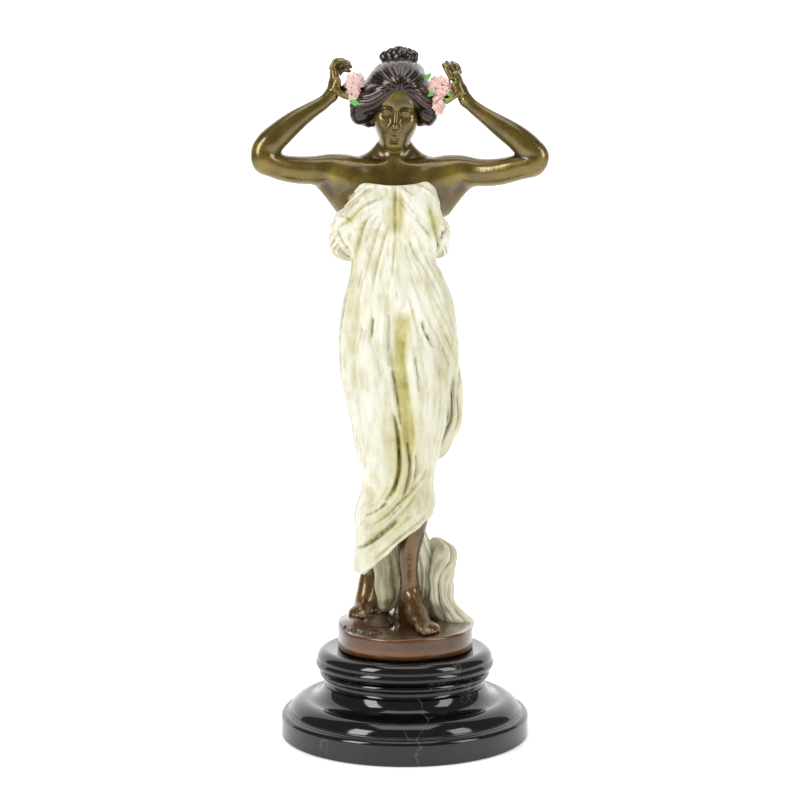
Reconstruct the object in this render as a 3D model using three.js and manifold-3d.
// A bronze nymph with raised arms and flowers in her hair, in a cream painted drape,
// cast in one with a low ground disc and seated on a turned plinth of black marble.
// Millimetres, +Z up, seen from the -Y side, origin at the centre of the plinth's underside.
import * as THREE from "three";
import { mergeVertices } from "three/addons/utils/BufferGeometryUtils.js";
import Module from "manifold-3d";

const wasm = await Module();
wasm.setup();

// Driving dimensions of the plinth
const FOOT_RADIUS = 65; // the straight band that it stands on
const FOOT_BAND = 11.5; // height of that band
const FOOT_CHAMFER = 1;
const NECK_RADIUS = 41; // the narrow part between foot and ring
const SHOULDER_DROP = 4.5; // from the rounded band in to the start of the dome
const RING_RADIUS = 46; // the large torus under the bronze
const RING_HEIGHT = 11;
const BEAD_HEIGHT = 4.5; // the small torus below it
const PLINTH_HEIGHT = 45;

// Driving dimensions of the casting
const SEAT_GAP = 0.3; // between the bronze and the marble
const GROUND_RADIUS = 36; // the ground disc cast under the feet
const GROUND_THICKNESS = 11;
const GROUND_RISE = 3; // how much higher the ground is under the rear foot
const SEAL_RADIUS = 8; // the plain oval boss between the feet
const FIGURE_HEIGHT = 306; // ground to the top of the bun
const DRAWN_HEIGHT = 306; // the height that the figure's tables below are drawn at

const BRONZE = { color: 0x5f4a22, roughness: 0.38, metalness: 1 };
const MARBLE = { color: 0x0c0c0e, roughness: 0.12, metalness: 0 };
const ROUND = 2 * Math.PI;
const SIZE = FIGURE_HEIGHT / DRAWN_HEIGHT;
const VIEWER = new THREE.Vector3(0, -1, 0);
const UP = new THREE.Vector3(0, 0, 1);
const RIM = new THREE.Vector3(-1, -1, 0); // square to the ground's rim behind on the right

// Smooth values along rows of numbers, for t from 0 at the first row to 1 at the last.
function along(rows, t) {
  const last = rows.length - 1;
  const at = Math.min(Math.max(t, 0), 1) * last;
  const i = Math.min(Math.floor(at), last - 1);
  const s = at - i;
  const row = (k) => rows[Math.min(Math.max(k, 0), last)];
  return rows[i].map((_, c) => {
    const [a, b, d, e] = [row(i - 1)[c], row(i)[c], row(i + 1)[c], row(i + 2)[c]];
    const rise = 0.5 * (d - a);
    const next = 0.5 * (e - b);
    const bend = 3 * (d - b) - 2 * rise - next;
    return b + s * (rise + s * (bend + s * (rise + next - 2 * (d - b))));
  });
}

// A closed mesh as a manifold solid, turned to face outwards.
function solidOf(geometry) {
  const bare = new THREE.BufferGeometry();
  bare.setAttribute("position", geometry.getAttribute("position"));
  bare.setIndex(geometry.getIndex());
  const merged = mergeVertices(bare, 1e-4);
  const build = (triVerts) =>
    new wasm.Manifold(
      new wasm.Mesh({
        numProp: 3,
        vertProperties: new Float32Array(merged.attributes.position.array),
        triVerts,
      }),
    );
  const made = build(new Uint32Array(merged.index.array));
  if (made.volume() > 0) return made;
  return build(new Uint32Array(merged.index.array).reverse());
}

// What is drawn in the figure's tables, at the figure's size.
const drawn = (geometry) => solidOf(geometry.scale(SIZE, SIZE, SIZE));

// A rounded form round a spine. A row is [x, y, z, half width, half depth] of one section,
// which is square to the spine, or level. The depth is measured towards front, and relief
// adds to both by angle (0 in front) and place.
function form(rows, { sides = 12, rings = 12, front = VIEWER, level, relief } = {}) {
  const sphere = new THREE.SphereGeometry(1, sides, rings);
  const place = sphere.getAttribute("position");
  const centre = (t) => new THREE.Vector3(...along(rows, t));
  for (let ring = 0; ring <= rings; ring += 1) {
    const t = 1 - ring / rings;
    const [x, y, z, width, depth] = along(rows, t);
    const climb = centre(t + 0.01).sub(centre(t - 0.01)).normalize();
    const tangent = level ? UP : climb;
    const side = tangent.clone().cross(front).normalize();
    const ahead = side.clone().cross(tangent);
    const pole = ring === 0 || ring === rings;
    for (let i = 0; i <= sides; i += 1) {
      const angle = (ROUND * (i % sides)) / sides;
      const point = new THREE.Vector3(x, y, z);
      if (!pole) {
        const proud = relief ? relief(angle, point) : 0;
        point.addScaledVector(side, Math.sin(angle) * (Math.max(width, 0.05) + proud));
        point.addScaledVector(ahead, Math.cos(angle) * (Math.max(depth, 0.05) + proud));
      }
      place.setXYZ(ring * (sides + 1) + i, point.x, point.y, point.z);
    }
  }
  return drawn(sphere);
}

const ball = (x, y, z, rx, ry = rx, rz = rx, turn = 0) => {
  const sphere = new THREE.SphereGeometry(1, 6, 4);
  return drawn(sphere.scale(rx, ry, rz).rotateY(turn).translate(x, y, z));
};

const fuse = (solids) => solids.reduce((whole, next) => whole.add(next));

// The plinth's profile, from the middle of its underside up to the middle of its seat.
function plinthGeometry() {
  const ringLow = PLINTH_HEIGHT - RING_HEIGHT;
  const beadLow = ringLow - BEAD_HEIGHT;
  const band = FOOT_RADIUS - SHOULDER_DROP;
  const dome = FOOT_BAND + 2.2;
  const reach = band - NECK_RADIUS;
  const saddle = NECK_RADIUS + 0.4 * reach;
  const saddleHeight = dome + 5.5;
  const beadRadius = RING_RADIUS - 2;
  const seat = RING_RADIUS - 6;
  const outline = new THREE.Path();
  outline.moveTo(0, 0);
  outline.lineTo(FOOT_RADIUS - FOOT_CHAMFER, 0);
  outline.lineTo(FOOT_RADIUS, FOOT_CHAMFER);
  outline.lineTo(FOOT_RADIUS, FOOT_BAND - 2);
  outline.quadraticCurveTo(FOOT_RADIUS, FOOT_BAND, FOOT_RADIUS - 3, FOOT_BAND + 0.8);
  outline.lineTo(band, dome - 0.8);
  outline.lineTo(band, dome);
  outline.quadraticCurveTo(band - 2.5, saddleHeight - 0.5, saddle, saddleHeight);
  outline.quadraticCurveTo(NECK_RADIUS, saddleHeight + 1, NECK_RADIUS, beadLow - 1.5);
  outline.lineTo(beadRadius - 2.4, beadLow);
  outline.quadraticCurveTo(beadRadius + 1.6, beadLow + 0.5, beadRadius - 0.4, ringLow);
  outline.quadraticCurveTo(RING_RADIUS + 2.5, ringLow + 1.5, RING_RADIUS, PLINTH_HEIGHT - 4.5);
  outline.quadraticCurveTo(RING_RADIUS - 2, PLINTH_HEIGHT - 0.6, seat, PLINTH_HEIGHT);
  outline.lineTo(0, PLINTH_HEIGHT);
  return new THREE.LatheGeometry(outline.getPoints(3), 32).rotateX(Math.PI / 2);
}

// How high the ground is at a place: it swells gently towards the rear foot.
function groundAt(x, y) {
  const share = THREE.MathUtils.smoothstep(y - x, 8, 34);
  return GROUND_RISE * share;
}

// The low disc of ground, flat below and gently swelling on top.
function ground() {
  const outline = [[0, -1], [1, -1], [1, 0], [0.72, 0], [0.4, 0], [0, 0]].map(
    ([r, h]) => new THREE.Vector2(r * GROUND_RADIUS, h * GROUND_THICKNESS),
  );
  const disc = new THREE.LatheGeometry(outline, 32).rotateX(Math.PI / 2);
  const place = disc.getAttribute("position");
  for (let i = 0; i < place.count; i += 1) {
    const [x, y, z] = [place.getX(i), place.getY(i), place.getZ(i)];
    if (z > -GROUND_THICKNESS / 2) place.setZ(i, z + groundAt(x, y));
  }
  return solidOf(disc);
}

// The plain oval boss that lies on the swell between the feet.
function seal() {
  const [x, y] = [-14, 6];
  const slope = Math.atan((groundAt(x, y + SEAL_RADIUS) - groundAt(x, y)) / SEAL_RADIUS);
  const boss = new THREE.CylinderGeometry(SEAL_RADIUS - 0.4, SEAL_RADIUS, 2.4, 16);
  boss.rotateX(Math.PI / 2 + slope).translate(x, y, groundAt(x, y));
  return solidOf(boss);
}

// Folds of the drape. Each is [height, half width, [angle, z], ...]: the angle in degrees
// is 0 in front and grows to the viewer's right, z is above the ground, and a negative
// height is a hollow.
const FOLDS = [
  [3.2, 9, [-30, 150], [-28, 120], [-24, 95], [-20, 78]],
  [2.2, 9, [24, 140], [22, 110], [20, 85]],
  [-4, 5, [2, 150], [2, 130], [8, 112], [14, 92]],
  [3.4, 8, [-28, 218], [-27, 213]],
  [3.4, 8, [28, 218], [27, 213]],
  [2.2, 3.4, [-5, 232], [-5, 205], [-6, 186]],
  [2.6, 3.6, [-20, 226], [-36, 219], [-60, 214]],
  [2.6, 3.6, [-22, 212], [-36, 202], [-44, 190], [-54, 180]],
  [2.6, 3.6, [16, 228], [26, 210], [40, 196]],
  [2.8, 4, [2, 204], [14, 188], [30, 170], [48, 152], [66, 134]],
  [2.6, 4, [-20, 180], [-8, 168], [12, 150], [34, 132], [52, 116]],
  [3.4, 4, [-12, 160], [-14, 145], [-8, 128], [-3, 112], [-2, 98], [-6, 82]],
  [3.2, 4, [-6, 82], [-22, 68], [-46, 62], [-80, 58]],
  [3, 4, [4, 98], [2, 76], [-14, 60], [-34, 50], [-62, 44]],
  [2.8, 4.2, [34, 76], [12, 62], [-10, 50], [-34, 38], [-60, 30]],
  [2.6, 4.2, [12, 158], [8, 140], [18, 118], [26, 100]],
];

// Plainer folds behind: they hang from the waist and spread towards the ground.
for (let i = 0; i < 7; i += 1) {
  const angle = 100 + i * 27;
  FOLDS.push([2, 4.5, [angle, 196], [angle - 4, 160], [angle + 3, 110], [angle, 40]]);
}

// How far the drape stands proud of its plain form, at an angle and a place.
function foldRelief(angle, point) {
  const radius = 27; // of the drape, on average: turns an angle into a distance
  const degree = Math.PI / 180;
  let proud = 0;
  for (const [height, width, ...path] of FOLDS) {
    let nearest = Infinity;
    for (let i = 0; i + 1 < path.length; i += 1) {
      const turn = Math.round((angle / degree - path[i][0]) / 360) * 360;
      const dx = (angle / degree - turn - path[i][0]) * degree * radius;
      const dz = point.z - path[i][1];
      const ax = (path[i + 1][0] - path[i][0]) * degree * radius;
      const az = path[i + 1][1] - path[i][1];
      const s = Math.min(Math.max((dx * ax + dz * az) / (ax * ax + az * az), 0), 1);
      nearest = Math.min(nearest, Math.hypot(dx - s * ax, dz - s * az));
    }
    proud += height * Math.exp(-((nearest / width) ** 2));
  }
  return proud;
}

// The drape from the hem to the bust.
const DRAPE = [
  [-5, 10, 8, 15, 12],
  [-7.5, 6, 26, 17.5, 14],
  [-6, 4.5, 41, 19.3, 14.5],
  [-4.6, 3, 55, 21, 14.5],
  [-4.4, 1.3, 66, 19.6, 13.7],
  [-4, -1.5, 77, 17.8, 13.5],
  [-4.3, -2, 88, 19.6, 14],
  [-3.6, -1.3, 101, 22.8, 14],
  [-2.9, -0.2, 115, 26.4, 15],
  [-2.5, 1.5, 130, 29.6, 15.7],
  [-2.5, 2.7, 146, 31, 16.3],
  [-3, 1.8, 160, 29.6, 15.8],
  [-4, 0, 172, 26.6, 14],
  [-4.8, -1, 184, 22, 11.7],
  [-5.7, -1, 193, 21.3, 11.5],
  [-5.8, -1.6, 202, 22.8, 13],
  [-6.2, -2.2, 212, 25, 14.6],
  [-6.2, -2, 221, 25, 14],
  [-5.6, -1.4, 229, 24.5, 13],
  [-5, -1, 237, 23.5, 12],
];

// The bare chest, back and shoulders, then the neck.
const CHEST = [
  [-6, -0.5, 200, 19, 10.5],
  [-6.6, -0.3, 210, 24.6, 11.6],
  [-7.4, 0, 217.6, 26.6, 12],
  [-7.6, 0.3, 223, 29.2, 12],
  [-7, 0.6, 229, 31.6, 11.6],
  [-5.4, 0.9, 234, 31.4, 10.8],
  [-4.8, 1.3, 239.4, 29, 9.6],
  [-5.6, 1.8, 243.4, 24, 8.4],
  [-6.6, 2.1, 246, 18, 7.2],
  [-6.8, 2.3, 249, 10.5, 5.5],
];
const NECK = [
  [-5.4, 3, 238, 12, 9],
  [-5.4, 2.4, 245, 11.5, 9],
  [-5.5, 1.4, 251, 8.6, 8.6],
  [-5.2, 0, 258, 8, 8.4],
  [-4.6, -0.5, 268, 8, 8.4],
];

// Arms from inside the shoulder to the wrist: [x, y, z, radius, radius].
const ARM_LEFT_OF_VIEW = [
  [-20, 2, 236, 6.5, 6.5],
  [-31, 1.6, 239, 8, 7.6],
  [-39, 0.6, 239.8, 8, 7.8],
  [-47, -2.4, 239, 7.6, 7.4],
  [-56, -6.2, 238.8, 7.3, 7.2],
  [-64.5, -10, 240, 6.7, 6.7],
  [-71.5, -13, 243.5, 6.5, 6.5],
  [-72.4, -13, 246.6, 6.6, 6.6],
  [-69.3, -12.6, 251, 7.3, 7],
  [-63.4, -11.8, 257, 6.8, 6.5],
  [-56.2, -10.8, 263.2, 5.8, 5.4],
  [-48, -9.6, 269.1, 4.4, 4.2],
  [-41.5, -8.6, 273.5, 3.5, 3.8],
  [-37.6, -7.6, 277, 3.3, 4.2],
];
const ARM_RIGHT_OF_VIEW = [
  [11, 2, 236, 6.5, 6.5],
  [22, 1.6, 238.4, 8, 7.6],
  [30, 0.6, 238.8, 8.2, 7.8],
  [38, -2.4, 237.6, 7.3, 7.2],
  [47, -6.2, 237.6, 7.2, 7],
  [56.4, -10, 239.2, 6.8, 6.7],
  [65.4, -12.8, 242, 6.4, 6.4],
  [67.4, -13, 244.4, 6.4, 6.4],
  [63.4, -12.6, 248.8, 7.1, 7],
  [57.4, -11.8, 254.6, 6.6, 6.4],
  [50, -10.8, 260, 5.7, 5.4],
  [42, -9.6, 265.8, 4.4, 4.2],
  [36, -8.6, 270.4, 3.6, 3.8],
  [31.8, -7.6, 274.6, 3.4, 4.2],
];

// A hand: the palm stands up from the wrist, four fingers curl in towards the hair and the
// thumb runs under the flowers. inward is +1 where the hair lies towards +X.
function hand([x, y, z], inward, lean) {
  const palmTop = [x + lean * 0.9 + inward, y + 2.5, z + 14.5];
  const palm = form(
    [
      [x, y, z - 4, 3, 3.4],
      [x + lean * 0.2, y + 0.4, z, 3.2, 4.2],
      [x + lean * 0.5, y + 1.6, z + 7, 3, 5.4],
      [palmTop[0], palmTop[1], palmTop[2], 2.4, 5],
      [palmTop[0] + inward * 0.6, palmTop[1], palmTop[2] + 1.6, 1, 3.4],
    ],
    { sides: 8, rings: 5 },
  );
  const fingers = [0, 1, 2, 3].map((finger) => {
    const across = palmTop[1] - 4.2 + finger * 2.7;
    const reach = [6.6, 7.8, 7, 5][finger];
    const rise = [0.4, 1.8, 3, 3.6][finger];
    const root = palmTop[0] + inward * 0.4;
    return form(
      [
        [root, across, palmTop[2] - 2, 1.5, 1.5],
        [root + inward * 1.4, across, palmTop[2] + 1.6 + rise * 0.3, 1.5, 1.4],
        [root + inward * reach * 0.55, across - 0.5, palmTop[2] + 1.6 + rise * 0.8, 1.3, 1.3],
        [root + inward * reach, across - 1, palmTop[2] + 0.6 + rise, 1, 1],
        [root + inward * (reach + 0.9), across - 1.1, palmTop[2] + 0.4 + rise, 0, 0],
      ],
      { sides: 5, rings: 5 },
    );
  });
  const thumb = form(
    [
      [x + inward * 0.5, y - 2, z + 0.5, 2, 2],
      [x + inward * 3.5, y - 2.6, z + 0.6, 1.9, 1.9],
      [x + inward * 7, y - 2.4, z + 0.2, 1.5, 1.5],
      [x + inward * 9.6, y - 1.6, z + 0.2, 1.2, 1.2],
      [x + inward * 10.6, y - 1.4, z + 0.2, 0, 0],
    ],
    { sides: 5, rings: 5, front: UP },
  );
  return fuse([palm, ...fingers, thumb]);
}

// Legs below the hem, each with its foot: [x, y, z, half width, half depth].
const SHIN_FORWARD = [
  [8.6, 2, 74, 7.6, 8],
  [6.4, 5, 58, 7.2, 7.6],
  [3.6, 8, 42, 6.5, 7],
  [2.6, 10.4, 31, 5.2, 5.6],
  [2.6, 12, 22, 4.7, 5.2],
  [2.8, 13.4, 13, 5, 6],
  [2.4, 15, 5, 4.6, 5.2],
  [2.3, 15.4, 0, 4.2, 4.8],
];
const FOOT_FORWARD = [
  [0.6, 21, 2.6, 2.8, 2.6],
  [1.6, 17, 4.6, 4.4, 4.6],
  [4, 10, 6.6, 4.5, 6.6],
  [6.6, 2, 5.2, 4.8, 5.6],
  [9.2, -5, 3.4, 5.6, 3.8],
  [11.4, -11, 2, 6, 2.6],
  [12.4, -14.6, 1.4, 5.2, 2],
];
const SHIN_REAR = [
  [-14, 8, 74, 7, 8],
  [-16.5, 15, 52, 6, 6.6],
  [-18.6, 21, 36, 5, 5.6],
  [-19.4, 24, 24, 4.3, 4.9],
  [-19.2, 26, 16, 4.6, 5.4],
  [-18.6, 27.4, 8, 4.5, 5],
  [-18.4, 27.6, 2, 4, 4.6],
];
const FOOT_REAR = [
  [-17.2, 31, 5.4, 2.8, 2.6],
  [-17.8, 28.8, 6.8, 4.1, 4.2],
  [-19.4, 24, 8.8, 4.3, 6.2],
  [-21.4, 18.6, 7.8, 4.5, 5.4],
  [-23.4, 14.2, 6.2, 5, 4],
  [-25, 11.2, 4.8, 5, 2.8],
  [-25.6, 9.4, 4, 4.4, 2],
];

// Five toes across the end of a foot, from the big one on the inner side.
function toes([x, y, z], heading, outward) {
  const [ahead, aside] = [Math.sin(heading), Math.cos(heading)];
  return [0, 1, 2, 3, 4].map((toe) => {
    const across = outward * (-4 + toe * 2.1);
    const reach = [5.4, 5, 3.8, 2.2, 0.6][toe];
    const size = [1.7, 1.2, 1.15, 1.1, 1][toe];
    const at = (way, height, radius) => [
      x + across * aside + way * ahead,
      y + across * ahead - way * aside,
      z + height,
      radius,
      radius,
    ];
    return form(
      [at(-5, 0.9, size), at(reach - 2.6, 0.8, size), at(reach - 0.8, 0, size), at(reach, -0.2, 0)],
      { sides: 5, rings: 3, front: UP },
    );
  });
}

// The head from under the chin to the crown, tipped forwards, and the nose on it.
const HEAD = [
  [-4.9, -8.4, 247.6, 0, 0],
  [-4.9, -7.6, 248.6, 4, 4.4],
  [-4.8, -4.6, 252.4, 7.6, 8.2],
  [-4.4, -1.6, 258, 10.6, 11.8],
  [-4, 0, 264, 12.2, 13.6],
  [-3.8, 0.8, 270, 12.8, 14.6],
  [-3.5, 1.6, 277, 12.8, 15],
  [-3.2, 2.4, 284, 11, 13.6],
  [-3, 3, 290, 6, 8],
];
const NOSE = [
  [-4, -14.2, 271.6, 1, 0.8],
  [-4.1, -14.6, 268, 1.2, 1.3],
  [-4.2, -14.9, 264.8, 1.6, 2],
  [-4.3, -14.4, 262.6, 2, 2.2],
  [-4.3, -13, 261.4, 1, 1],
];

// Hair: the swept-up mass, a full roll over each ear, and the bun. Rows run upwards.
const HAIR_CROWN = [
  [-5.6, 7, 260.6, 6, 6],
  [-5.8, 6.4, 263.4, 14, 10],
  [-6, 6, 267, 19.6, 12.4],
  [-6, 5.6, 273, 20.6, 14],
  [-5.6, 5, 279, 19.8, 16],
  [-4.4, 4.2, 285, 17.6, 17.4],
  [-3.6, 4.2, 290, 14.6, 15],
  [-3, 5, 295, 11, 11],
  [-2.8, 5.4, 299, 3, 3],
];
const ROLL_LEFT_OF_VIEW = [
  [-4.6, -13.4, 285.4, 2.5, 3],
  [-10.6, -12, 282.6, 4.8, 5.6],
  [-17.4, -8.4, 277.6, 6.6, 7.2],
  [-22, -4.6, 271.4, 6.6, 8],
  [-21.6, -1, 266.6, 5, 6.6],
  [-18.4, 2.4, 264.6, 2.4, 4],
];
const ROLL_RIGHT_OF_VIEW = [
  [-0.4, -13.2, 285.6, 2.4, 3],
  [4, -11.8, 282.6, 4.2, 5.4],
  [8.2, -8.2, 277.4, 5.2, 7],
  [11, -4.4, 271.6, 5.2, 7.6],
  [11, -1, 267, 4.2, 6.4],
  [8.8, 2.4, 264.8, 2.4, 4],
];
const BUN = [
  [-3, 8, 292, 6, 6],
  [-2.8, 8.4, 296.4, 9.4, 8.6],
  [-2.6, 8.6, 300, 9.6, 8.6],
  [-2.6, 8.6, 303.4, 6.6, 6],
  [-2.6, 8.4, 306, 1, 1],
];

// Locks of hair as even ridges that run along the form.
const locks = (count, height) => (angle) => height * Math.cos(count * angle);

// Loose cloth: a gathered loop over each flank, the fall behind the right thigh, the end
// that hangs between the feet, and the cloth heaped on the ground behind.
const LOOP_LEFT_OF_VIEW = [
  [-18, -12.6, 222, 2, 3],
  [-27.5, -8.6, 215.4, 3.6, 5],
  [-33.6, -1, 208.6, 4.8, 7.6],
  [-31.6, 6.4, 201.6, 4, 7],
  [-23, 10, 196, 2.4, 4],
];
const LOOP_RIGHT_OF_VIEW = [
  [10, -11.6, 218, 2, 3],
  [16.4, -6.4, 212, 3.2, 4.4],
  [19.6, -0.6, 205.4, 3.8, 7],
  [18, 5.4, 200, 3.4, 6],
  [12, 9.4, 196, 2, 3.6],
];
const THIGH_FALL = [
  [22, 6, 146, 3, 4],
  [24.6, 6, 130, 4.4, 7],
  [25.8, 6.4, 114, 4.6, 8],
  [23.8, 7, 102, 4.8, 7.4],
  [18.6, 8, 91, 4.6, 5.6],
  [14, 8, 84, 1.6, 2],
];
const HANGING_END = [
  [-7.6, 8, 62, 8, 6],
  [-8.4, 13, 42, 7, 5],
  [-8.8, 18, 24, 6.6, 4.4],
  [-9.6, 19.6, 12, 6.4, 4],
  [-10.4, 19.8, 6, 4.8, 3.4],
  [-10.6, 19.8, 3, 1, 1],
];
const TRAIN_CURTAIN = [
  [3, 12, 66, 12, 8],
  [3.6, 15, 48, 11.4, 7.4],
  [5, 18.6, 30, 11.4, 7],
  [6, 22, 14, 12, 7],
  [6.6, 24, 0, 12.6, 7.6],
  [6.6, 24, -7, 12.6, 7.6],
];
const TRAIN_HEAP = [
  [23.8, 20, -7, 15.8, 8],
  [23.8, 20, 0, 15.8, 8],
  [21, 20, 4, 13.6, 7.5],
  [18.4, 19.6, 9, 10.8, 7],
  [17, 19, 18, 9.4, 6.5],
  [17.4, 18.6, 28, 9.6, 6],
  [19, 18, 36, 9.8, 6],
  [18.4, 18, 41, 8, 5],
  [17, 18, 44.6, 3, 2],
];

// The hollow under the skirt, round the shins.
const UNDER_SKIRT = [
  [-8, 5, 14, 13.6, 10],
  [-8, 4.6, 30, 14.6, 10.4],
  [-5, 3.6, 46, 15.6, 10.4],
  [-3.6, 2.6, 58, 13, 9],
  [-3.4, 2, 64, 3, 3],
];

// The drape, cut off along the slanting neckline, which dips behind, and along the hem,
// which climbs from the left of the view to the right.
function drape() {
  const cloth = form(DRAPE, { sides: 34, rings: 32, level: true, relief: foldRelief });
  const knife = () => new THREE.BoxGeometry(200, 200, 60).translate(0, 0, -30);
  const hem = knife().rotateY(-Math.atan(0.85)).translate(-2, 0, 44.5);
  const neckline = knife().rotateX(Math.PI - Math.atan(1.1)).translate(0, -14.4, 232.6);
  const hollow = form(UNDER_SKIRT, { sides: 12, rings: 6, level: true });
  return cloth.subtract(drawn(hem)).subtract(drawn(neckline)).subtract(hollow);
}

// Flowers against the hair, as [x, z] with their radius, and leaves with their turn.
const FLOWERS = [
  [-29.4, 288, 3.2],
  [-24.6, 287.4, 3.6],
  [-28.4, 283, 3.4],
  [-24.6, 281, 3],
  [14.6, 284.6, 3.6],
  [19.4, 284, 3.4],
  [16.6, 280, 3.4],
  [16.6, 275, 2.8],
  [17.4, 270, 3],
];
const LEAVES = [
  [-24, 274.6, -0.5],
  [11.4, 288.6, 0.9],
  [13, 277.4, 0.6],
  [23.6, 277, -1.2],
];

function garlands() {
  const blooms = FLOWERS.map(([x, z, r]) => ball(x, -6, z, r, r * 1.3, r));
  const leaves = LEAVES.map(([x, z, turn]) => ball(x, -6.4, z, 3.6, 2.4, 1.8, turn));
  return fuse([...blooms, ...leaves]);
}

// The cores that hold the flowers and rolls of hair together between hand and head.
const FLOWER_STEMS = [
  [
    [-32, -5, 280, 3, 4],
    [-24, -3.4, 280, 4.4, 5],
    [-16, -2, 278, 4, 5],
  ],
  [
    [25, -5, 278, 3, 4],
    [17, -3.4, 278, 4.4, 5],
    [9, -2, 277, 4, 5],
  ],
];

function nymphGeometry() {
  const arm = (rows) => form(rows, { sides: 8, rings: 14 });
  const figure = fuse([
    drape(),
    form(CHEST, { sides: 18, rings: 10, level: true }),
    form(NECK, { sides: 12, rings: 5 }),
    arm(ARM_LEFT_OF_VIEW),
    arm(ARM_RIGHT_OF_VIEW),
    hand([-36.6, -7.2, 277.6], 1, 1.4),
    hand([30.8, -7.2, 276], -1, -3.4),
    form(HEAD, { sides: 16, rings: 11 }),
    form(NOSE, { sides: 5, rings: 4 }),
    form(HAIR_CROWN, { sides: 26, rings: 9, level: true, relief: locks(9, 0.6) }),
    form(ROLL_LEFT_OF_VIEW, { sides: 10, rings: 8, relief: locks(4, 0.5) }),
    form(ROLL_RIGHT_OF_VIEW, { sides: 10, rings: 8, relief: locks(4, 0.5) }),
    form(BUN, { sides: 16, rings: 6, level: true, relief: locks(6, 0.7) }),
    ...FLOWER_STEMS.map((rows) => form(rows, { sides: 6, rings: 3, front: UP })),
    garlands(),
    form(LOOP_LEFT_OF_VIEW, { sides: 9, rings: 7, front: UP }),
    form(LOOP_RIGHT_OF_VIEW, { sides: 9, rings: 7, front: UP }),
    form(THIGH_FALL, { sides: 10, rings: 8 }),
    form(HANGING_END, { sides: 10, rings: 7, level: true }),
    form(TRAIN_CURTAIN, { sides: 18, rings: 6, level: true, relief: locks(5, 1) }),
    form(TRAIN_HEAP, { sides: 18, rings: 9, level: true, front: RIM, relief: locks(5, 1) }),
    form(SHIN_FORWARD, { sides: 10, rings: 9 }),
    form(FOOT_FORWARD, { sides: 10, rings: 7, front: UP }),
    ...toes([12.6, -14.6, 1.5], 0.34, 1),
    form(SHIN_REAR, { sides: 10, rings: 8 }),
    form(FOOT_REAR, { sides: 10, rings: 7, front: UP }),
    ...toes([-25.8, 10.8, 3.9], -0.24, -1),
  ]);
  const belowGround = new THREE.BoxGeometry(200, 200, 50).translate(0, 0, -25);
  const casting = figure.subtract(solidOf(belowGround)).add(ground()).add(seal());
  const mesh = casting.getMesh();
  const corners = new THREE.BufferAttribute(new Float32Array(mesh.vertProperties), 3);
  const geometry = new THREE.BufferGeometry().setAttribute("position", corners);
  geometry.setIndex(new THREE.BufferAttribute(new Uint32Array(mesh.triVerts), 1));
  geometry.translate(0, 0, GROUND_THICKNESS).computeVertexNormals();
  return geometry;
}

function named(name, geometry, finish) {
  const mesh = new THREE.Mesh(geometry, new THREE.MeshStandardMaterial(finish));
  mesh.name = name;
  return mesh;
}

const plinth = named("plinth", plinthGeometry(), MARBLE);
const nymph = named("nymph", nymphGeometry(), BRONZE);
nymph.position.z = PLINTH_HEIGHT + SEAT_GAP;

const statue = new THREE.Group();
statue.add(plinth, nymph);

export default statue;
